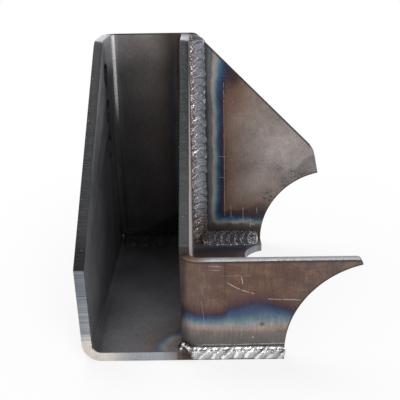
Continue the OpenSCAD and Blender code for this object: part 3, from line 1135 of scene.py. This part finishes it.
# Inputs of the tree that sweeps a bead
BEAD_SOCKETS = (
    ("Start", "NodeSocketVector"),
    ("Run", "NodeSocketVector"),
    ("Toe A", "NodeSocketVector"),
    ("Toe B", "NodeSocketVector"),
    ("Root", "NodeSocketVector"),
    ("Out", "NodeSocketVector"),
    ("Length", "NodeSocketFloat"),
    ("Crown", "NodeSocketFloat"),
    ("Ripple", "NodeSocketFloat"),
    ("Pitch", "NodeSocketFloat"),
    ("Bow", "NodeSocketFloat"),
    ("Lean", "NodeSocketFloat"),
    ("End Length", "NodeSocketFloat"),
    ("Seed", "NodeSocketFloat"),
    ("Along", "NodeSocketInt"),
    ("Across", "NodeSocketInt"),
    ("Material", "NodeSocketMaterial"),
)


def new_tree(name, sockets):
    """A geometry tree with the given inputs: its board and its inputs' wires by name."""
    tree = bpy.data.node_groups.new(name, "GeometryNodeTree")
    for socket_name, kind in sockets:
        tree.interface.new_socket(socket_name, in_out="INPUT", socket_type=kind)
    tree.interface.new_socket("Geometry", in_out="OUTPUT", socket_type="NodeSocketGeometry")
    board = Board(tree)
    entry = board.add("NodeGroupInput").socket.node
    given = {socket_name: Wire(board, entry.outputs[socket_name]) for socket_name, _ in sockets}
    return board, given


def end_tree(board, geometry, material):
    """Closes a geometry tree with plain meshes and their material."""
    real = board.add("GeometryNodeRealizeInstances", None, {"Geometry": geometry})
    finished = board.add("GeometryNodeSetMaterial", None, {"Geometry": real, "Material": material})
    board.add("NodeGroupOutput", None, {"Geometry": finished})
    return board.tree


def stored(board, geometry, name, value):
    """Keeps a value on the points of a mesh under a name."""
    settings = {"data_type": "FLOAT", "domain": "POINT"}
    sockets = {"Geometry": geometry, "Name": name, "Value": value}
    return board.add("GeometryNodeStoreNamedAttribute", settings, sockets)


# A bead shrinks to its root within the trim of its ends, and points within the reach are merged
END_TRIM = 0.001 * MM
MERGE_REACH = 0.002 * MM
# How fast the drift of the ripples and the lumps on them change along a bead, per metre
DRIFT_RATE = 220.0
LUMP_RATE = 900.0
# Fine waves on each ripple
FINE_WAVES = 3.0


def rippled(board, given, along, across, side):
    """A point's share of its ripple, the crest there from 0 to 1, the ripple's chance and its drift."""
    trail = board.vector(along * DRIFT_RATE, across * 1.6, given["Seed"])
    drift = board.noise(trail, 1.0) - 0.5
    phase = along / given["Pitch"] + given["Bow"] * side * side + given["Lean"] * side + drift * 0.9
    cell = phase.floor()
    share = phase - cell
    draw = {"W": cell + given["Seed"]}
    chance = board.add("ShaderNodeTexWhiteNoise", {"noise_dimensions": "1D"}, draw)
    fine = phase * FINE_WAVES + chance
    fine = fine - fine.floor()
    wave = 1.0 - abs(share ** 0.7 * 2.0 - 1.0) ** 2.3
    wavelet = 1.0 - abs(fine * 2.0 - 1.0) ** 2.0
    return share, wave * 0.72 + wavelet * 0.28, chance, drift


def bead_tree():
    """A bead swept along a straight run, with one ripple laid over the next."""
    board, given = new_tree("weld_bead", BEAD_SOCKETS)
    size = {"Size X": 1.0, "Size Y": 1.0, "Vertices X": given["Along"], "Vertices Y": given["Across"]}
    grid = board.add("GeometryNodeMeshGrid", None, size, "Mesh")
    grid_x, grid_y, _ = board.add("GeometryNodeInputPosition").parts()

    # The last two rows of the section are its root and its first toe again, which close it
    rows = given["Across"]
    row = board.math("ROUND", (grid_y + 0.5) * (rows - 1.0))
    at_root = row.is_near(rows - 2.0, 0.1)
    at_close = row.is_near(rows - 1.0, 0.1)
    across = (row / (rows - 3.0)).least(1.0) * (1.0 - at_close)
    along = (grid_x + 0.5) * given["Length"]
    middle = across * (1.0 - across) * 4.0
    side = across * 2.0 - 1.0

    # The skin swells over the chord between the toes, and more on each ripple's crest
    share, crest, chance, drift = rippled(board, given, along, across, side)
    lumpy = board.vector(along * LUMP_RATE, across * 6.0, given["Seed"])
    lumps = board.noise(lumpy, 1.0, 3.0, 0.6) - 0.5
    swell = given["Crown"] * middle + given["Ripple"] * (0.3 + chance * 0.9) * crest * middle ** 0.45
    swell = swell + lumps * given["Ripple"] * 1.1 * middle
    spread = 1.0 + (crest - 0.6) * 0.09 + (chance - 0.5) * 0.1 + drift * 0.1
    to_end = along.least(given["Length"] - along) - END_TRIM
    ends = (to_end / given["End Length"]).least(1.0).most(0.0)
    taper = (1.0 - (1.0 - ends) * (1.0 - ends)).most(0.0).root()

    chord = given["Toe A"] + (given["Toe B"] - given["Toe A"]).scaled(across)
    reach = spread * taper * (1.0 - at_root)
    skin = (chord + given["Out"].scaled(swell) - given["Root"]).scaled(reach)
    place = given["Start"] + given["Run"].scaled(along) + given["Root"] + skin

    bead = stored(board, grid, "share", share)
    bead = stored(board, bead, "side", side)
    bead = board.add("GeometryNodeSetPosition", None, {"Geometry": bead, "Position": place})
    bead = board.add("GeometryNodeMergeByDistance", None, {"Geometry": bead, "Distance": MERGE_REACH})
    return end_tree(board, bead, given["Material"])


def grown(name, tree, values, base=None):
    """An object whose mesh comes from a geometry tree with the given inputs."""
    obj = linked(name, base or bpy.data.meshes.new(name))
    modifier = obj.modifiers.new(tree.name, "NODES")
    modifier.node_group = tree
    for item in tree.interface.items_tree:
        if item.in_out == "INPUT" and item.name in values:
            modifier[item.identifier] = values[item.name]
    settled(obj)
    return obj


# How far a bead is sunk into the plates, and how far it runs past its CAD node at either end
SINK = 0.2 * MM
WALL_LEAD = 3.5 * MM
WALL_TAIL = 1.4 * MM
GUSSET_LEAD = 5.0 * MM
SEAM_LEAD = 6.0 * MM
FLANGE_TAIL = 2.2 * MM


def along_axis(axis, length):
    """A vector along one axis."""
    vector = Vector((0.0, 0.0, 0.0))
    vector[axis] = length
    return vector


def fillet(node, run_axis, leg_axis, lead=0.0, tail=0.0):
    """Inputs of a bead in a corner: one leg lies along y, and its run and other leg along given axes."""
    low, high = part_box(node)
    start = Vector((low.x, high.y, low.z))
    start[run_axis] = low[run_axis] - lead
    leg_a = along_axis(leg_axis, high[leg_axis] - low[leg_axis])
    leg_b = along_axis(Y, low.y - high.y)
    way_a = leg_a.normalized()
    way_b = leg_b.normalized()
    return {
        "Start": start,
        "Run": along_axis(run_axis, 1.0),
        "Length": high[run_axis] - low[run_axis] + lead + tail,
        "Toe A": leg_a - way_b * SINK,
        "Toe B": leg_b - way_a * SINK,
        "Root": -(way_a + way_b) * SINK,
        "Out": (way_a * leg_b.length + way_b * leg_a.length).normalized(),
    }


def wall_bead(looks):
    """The upright fillet between the right wall and the gusset."""
    return fillet("wall_weld", Z, X, WALL_LEAD, WALL_TAIL) | {
        "Crown": looks.crown * 0.7,
        "Ripple": looks.ripple * 0.5,
        "Pitch": looks.wall_pitch,
        "Bow": 0.6,
        "Lean": 0.1,
        "End Length": 6.0 * MM,
        "Seed": 3.0,
        "Along": 480,
        "Across": 44,
    }


def floor_fillet(looks, node, lead):
    """What the two fillets on the floor have in common."""
    return fillet(node, X, Z, lead) | {
        "Crown": looks.crown * 0.6,
        "Ripple": looks.ripple,
        "Pitch": looks.floor_pitch,
        "End Length": 2.2 * MM,
        "Along": 170,
    }


def gusset_bead(looks):
    """The fillet between the gusset and the floor, run into the upright one."""
    form = {"Bow": -0.55, "Lean": 0.35, "Seed": 11.0, "Across": 36}
    return floor_fillet(looks, "gusset_weld", GUSSET_LEAD) | form


def seam_bead(looks):
    """The fillet between the back plate and the floor, inside the gap."""
    form = {"Bow": -0.5, "Lean": 0.3, "Seed": 23.0, "Across": 32}
    return floor_fillet(looks, "seam_weld", SEAM_LEAD) | form


def flange_bead(looks):
    """The bead along the flange's foot, over the floor's front edge."""
    low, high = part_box("flange_weld")
    return {
        "Start": Vector((low.x, high.y, 0.0)),
        "Run": along_axis(X, 1.0),
        "Length": high.x - low.x + FLANGE_TAIL,
        "Toe A": Vector((0, SINK, high.z)),
        "Toe B": Vector((0, SINK, low.z + SINK)),
        "Root": Vector((0, 3 * SINK, (low.z + high.z) / 2)),
        "Out": along_axis(Y, -1.0),
        "Crown": (high.y - low.y) * 0.78,
        "Ripple": looks.ripple * 1.7,
        "Pitch": looks.flange_pitch,
        "Bow": -0.25,
        "Lean": 0.5,
        "End Length": 2.6 * MM,
        "Seed": 7.0,
        "Along": 210,
        "Across": 36,
    }


# Beads as the name of the piece, the CAD node that it replaces and its inputs
BEADS = (
    ("wall_bead", "wall_weld", wall_bead),
    ("gusset_bead", "gusset_weld", gusset_bead),
    ("seam_bead", "seam_weld", seam_bead),
    ("flange_bead", "flange_weld", flange_bead),
)


class BRACKET_OT_beads(bpy.types.Operator):
    """Lay the four weld beads"""

    bl_idname = "bracket.beads"
    bl_label = "Weld beads"

    def execute(self, context):
        looks = context.scene.bracket_welds
        material = weld_material(looks)
        tree = bead_tree()
        for name, node, shape in BEADS:
            values = shape(looks)
            values["Material"] = material
            bead = grown(name, tree, values)
            require_closed(bead.data)
            bead.data.shade_smooth()
            carried(bead, WELD_SLOT, node)
        return {"FINISHED"}


# Lumps of the corner tack, as shares of its CAD box, and their radius in millimetres
TACK_LUMPS = (
    ((0.42, 0.40, 0.10), 2.9),
    ((0.62, 0.22, 0.25), 2.2),
    ((0.74, 0.10, 0.05), 2.2),
    ((0.28, 0.62, 0.02), 1.9),
)
TACK_VOXEL = 0.22 * MM
# The tack's rough skin: how wide its bumps are, and how far they stand out or sink in
BUMP_WIDTH = 1.8 * MM
BUMP_HEIGHT = 0.4 * MM


class BRACKET_OT_tack(bpy.types.Operator):
    """Lay the tack at the foot of the flange's bend"""

    bl_idname = "bracket.tack"
    bl_label = "Corner tack"

    def execute(self, context):
        low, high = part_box("corner_tack")
        shell = bmesh.new()
        for share, radius in TACK_LUMPS:
            centre = Vector(a + (b - a) * s for a, b, s in zip(low, high, share))
            shape = Matrix.Translation(centre) @ Matrix.Scale(radius * MM, 4)
            bmesh.ops.create_icosphere(shell, subdivisions=4, radius=1.0, matrix=shape)
        mesh = bpy.data.meshes.new("tack_lump")
        shell.to_mesh(mesh)
        shell.free()
        tack = linked("tack_lump", mesh)
        skin = tack.modifiers.new("one_skin", "REMESH")
        skin.mode = "VOXEL"
        skin.voxel_size = TACK_VOXEL
        mesh = settled(tack)
        for vertex in mesh.vertices:
            vertex.co += vertex.normal * noise.noise(vertex.co / BUMP_WIDTH) * BUMP_HEIGHT
        require_closed(mesh)
        mesh.shade_smooth()
        mesh.materials.clear()
        mesh.materials.append(bpy.data.materials["weld_bead_metal"])
        carried(tack, WELD_SLOT, "corner_tack")
        return {"FINISHED"}


# Inputs of the tree that scatters spatter
SPATTER_SOCKETS = (
    ("Geometry", "NodeSocketGeometry"),
    ("Density", "NodeSocketFloat"),
    ("Smallest", "NodeSocketFloat"),
    ("Largest", "NodeSocketFloat"),
    ("Seed", "NodeSocketInt"),
    ("Material", "NodeSocketMaterial"),
)
# Balls of spatter on a square metre close to a bead
SPATTER_DENSITY = 9000.0


def spatter_tree():
    """Small balls of weld metal on the faces round the beads, fewer further away."""
    board, given = new_tree("weld_spatter", SPATTER_SOCKETS)
    point = board.add("GeometryNodeInputPosition").scaled(1 / MM).parts()
    x = point[X]
    facing_x, facing_y, facing_z = board.add("GeometryNodeInputNormal").parts()
    open_side = most_of([-facing_y, facing_x, facing_z]).step(0.4, 0.6)
    roots = bead_roots()
    wall = run_distance(point, *roots["wall"]).step(34.0, 8.0)
    gusset = run_distance(point, *roots["gusset"]).step(24.0, 8.0)
    flange = run_distance(point, *roots["flange"]).step(22.0, 5.0)
    near = wall.most(gusset) * x.step(WALL_INNER_MM - 0.5, WALL_INNER_MM + 0.5)
    near = near.most(flange * 0.2 * x.step(WALL_INNER_MM - 12.0, WALL_INNER_MM))
    density = given["Density"] * near * near * open_side
    scatter = {"Mesh": given["Geometry"], "Density": density, "Seed": given["Seed"]}
    method = {"distribute_method": "RANDOM"}
    points = board.add("GeometryNodeDistributePointsOnFaces", method, scatter, "Points")
    turn = Wire(board, points.socket.node.outputs["Rotation"])
    chance = board.add("FunctionNodeRandomValue", {"data_type": "FLOAT"}, {"Seed": given["Seed"]}, 1)
    radius = given["Smallest"] + (given["Largest"] - given["Smallest"]) * chance ** 3.0
    ball = board.add("GeometryNodeMeshIcoSphere", None, {"Radius": 1.0, "Subdivisions": 2}, "Mesh")
    ball = stored(board, ball, "share", 0.5)
    size = board.vector(radius, radius, radius * 0.75)
    spread = {"Points": points, "Instance": ball, "Rotation": turn, "Scale": size}
    balls = board.add("GeometryNodeInstanceOnPoints", None, spread)
    return end_tree(board, balls, given["Material"])


class BRACKET_OT_spatter(bpy.types.Operator):
    """Scatter weld spatter round the beads"""

    bl_idname = "bracket.spatter"
    bl_label = "Weld spatter"

    def execute(self, context):
        looks = context.scene.bracket_welds
        shell = bmesh.new()
        for node in ("main_plate", "side_plate"):
            shell.from_mesh(frame["nodes"][node].data)
        base = bpy.data.meshes.new("spatter_ground")
        shell.to_mesh(base)
        shell.free()
        values = {
            "Density": SPATTER_DENSITY,
            "Smallest": looks.spatter_small,
            "Largest": looks.spatter_large,
            "Seed": looks.spatter_seed,
            "Material": bpy.data.materials["weld_bead_metal"],
        }
        spatter = grown("weld_spatter", spatter_tree(), values, base)
        spatter.data.shade_smooth()
        carried(spatter, WELD_SLOT)
        return {"FINISHED"}


# The floor's half width, and how far it lies below the bracket
FLOOR_HALF = 4.0
FLOOR_DROP = 0.05 * MM
# Heights on a unit sky between which the low light turns into the high light
SKY_LOW_END = 0.22
SKY_HIGH_START = 0.7
# Lamps as name, place, size and watts, and the point that they face, in metres
LAMPS = (
    ("front_lamp", (0.35, -0.9, 0.75), 0.45, 5.5),
    ("top_lamp", (-0.3, 0.35, 1.0), 0.7, 7.0),
)
LAMP_TARGET = (0.0, 0.0, 0.06)
# The camera's sensor in millimetres, and the nearest that it sees in metres
SENSOR_WIDTH = 36.0
NEAR_CLIP = 0.01


def floor_material(looks):
    """A pale floor that looks white, and still takes the bracket's shadow."""
    material, board = new_material("pale_floor")
    path = board.add("ShaderNodeLightPath").socket.node
    rays = ("Is Camera Ray", "Is Glossy Ray", "Is Transmission Ray")
    seen = [Wire(board, path.outputs[ray]) for ray in rays]
    far_x, far_y, _ = board.add("ShaderNodeTexCoord", out="Object").parts()
    far = off_point(far_x, far_y, 0.0, 0.0)
    clean = most_of(seen) * (0.8 + far.step(0.07, 0.3) * 0.2)
    cloth = board.add("ShaderNodeBsdfDiffuse", None, {"Color": opaque(looks.floor_tint)})
    white = board.add("ShaderNodeEmission", None, {"Color": (1.0, 1.0, 1.0, 1.0), "Strength": 1.0})
    floor = board.add("ShaderNodeMixShader", None, {0: clean, 1: cloth, 2: white})
    board.add("ShaderNodeOutputMaterial", None, {"Surface": floor})
    return material


def light_world(looks):
    """Even light from all round, weaker from overhead."""
    world = bpy.data.worlds.new("light_tent")
    world.use_nodes = True
    world.node_tree.nodes.clear()
    board = Board(world.node_tree)
    _, _, up = board.add("ShaderNodeTexCoord", out="Generated").parts()
    low, high = [(level,) * 3 for level in (looks.sky_low, looks.sky_high)]
    colour = board.mixed(up.step(SKY_LOW_END, SKY_HIGH_START), low, high)
    sky = board.add("ShaderNodeBackground", None, {"Color": colour, "Strength": 1.0})
    board.add("ShaderNodeOutputWorld", None, {"Surface": sky})
    bpy.context.scene.world = world


def soft_lamp(name, place, size, watts):
    """A large soft lamp that faces the bracket."""
    lamp = bpy.data.lights.new(name, "AREA")
    lamp.shape = "SQUARE"
    lamp.size = size
    lamp.energy = watts
    obj = linked(name, lamp)
    aim = (Vector(LAMP_TARGET) - Vector(place)).to_track_quat("-Z", "Y")
    obj.matrix_world = Matrix.Translation(place) @ aim.to_matrix().to_4x4()


def place_camera(looks):
    """The camera at the photograph's place and angle."""
    camera = bpy.data.cameras.new("bench_camera")
    camera.sensor_width = SENSOR_WIDTH
    camera.lens = looks.lens
    camera.clip_start = NEAR_CLIP
    obj = linked("bench_camera", camera)
    turn = Matrix.Rotation(looks.camera_yaw, 4, "Z")
    turn = turn @ Matrix.Rotation(math.pi / 2 - looks.camera_pitch, 4, "X")
    turn = turn @ Matrix.Rotation(-looks.camera_roll, 4, "Z")
    obj.matrix_world = Matrix.Translation(looks.camera_place) @ turn
    bpy.context.scene.camera = obj


class BRACKET_OT_stage(bpy.types.Operator):
    """Set up the floor, the light and the camera"""

    bl_idname = "bracket.stage"
    bl_label = "Stage"

    def execute(self, context):
        looks = context.scene.bracket_stage
        mesh = bpy.data.meshes.new("bench_floor")
        signs = ((-1, -1), (1, -1), (1, 1), (-1, 1))
        corners = [(x * FLOOR_HALF, y * FLOOR_HALF, -FLOOR_DROP) for x, y in signs]
        mesh.from_pydata(corners, [], [(0, 1, 2, 3)])
        mesh.materials.append(floor_material(looks))
        linked("bench_floor", mesh)
        light_world(looks)
        for lamp in LAMPS:
            soft_lamp(*lamp)
        place_camera(looks)
        context.scene.view_settings.view_transform = "Standard"
        return {"FINISHED"}


OPERATORS = (
    BRACKET_OT_stage,
    BRACKET_OT_plates,
    BRACKET_OT_beads,
    BRACKET_OT_tack,
    BRACKET_OT_spatter,
)
LOOKS = (
    ("bracket_stage", StageLooks),
    ("bracket_plates", PlateLooks),
    ("bracket_welds", WeldLooks),
)


class BRACKET_PT_panel(bpy.types.Panel):
    """Sizes, colours and steps of the bracket"""

    bl_label = "Track Bar Bracket"
    bl_idname = "BRACKET_PT_panel"
    bl_space_type = "VIEW_3D"
    bl_region_type = "UI"
    bl_category = "Bracket"

    def draw(self, context):
        for group_name, group in LOOKS:
            looks = getattr(context.scene, group_name)
            column = self.layout.column(align=True)
            for name in group.__annotations__:
                column.prop(looks, name)
        for operator in OPERATORS:
            self.layout.operator(operator.bl_idname)


def register():
    for name, group in LOOKS:
        bpy.utils.register_class(group)
        setattr(bpy.types.Scene, name, PointerProperty(type=group))
    for operator in OPERATORS:
        bpy.utils.register_class(operator)
    bpy.utils.register_class(BRACKET_PT_panel)


def unregister():
    bpy.utils.unregister_class(BRACKET_PT_panel)
    for operator in reversed(OPERATORS):
        bpy.utils.unregister_class(operator)
    for name, group in reversed(LOOKS):
        delattr(bpy.types.Scene, name)
        bpy.utils.unregister_class(group)


def main():
    register()
    bpy.ops.bracket.stage()
    bpy.ops.bracket.plates()
    bpy.ops.bracket.beads()
    bpy.ops.bracket.tack()
    bpy.ops.bracket.spatter()


if __name__ == "__main__":
    main()
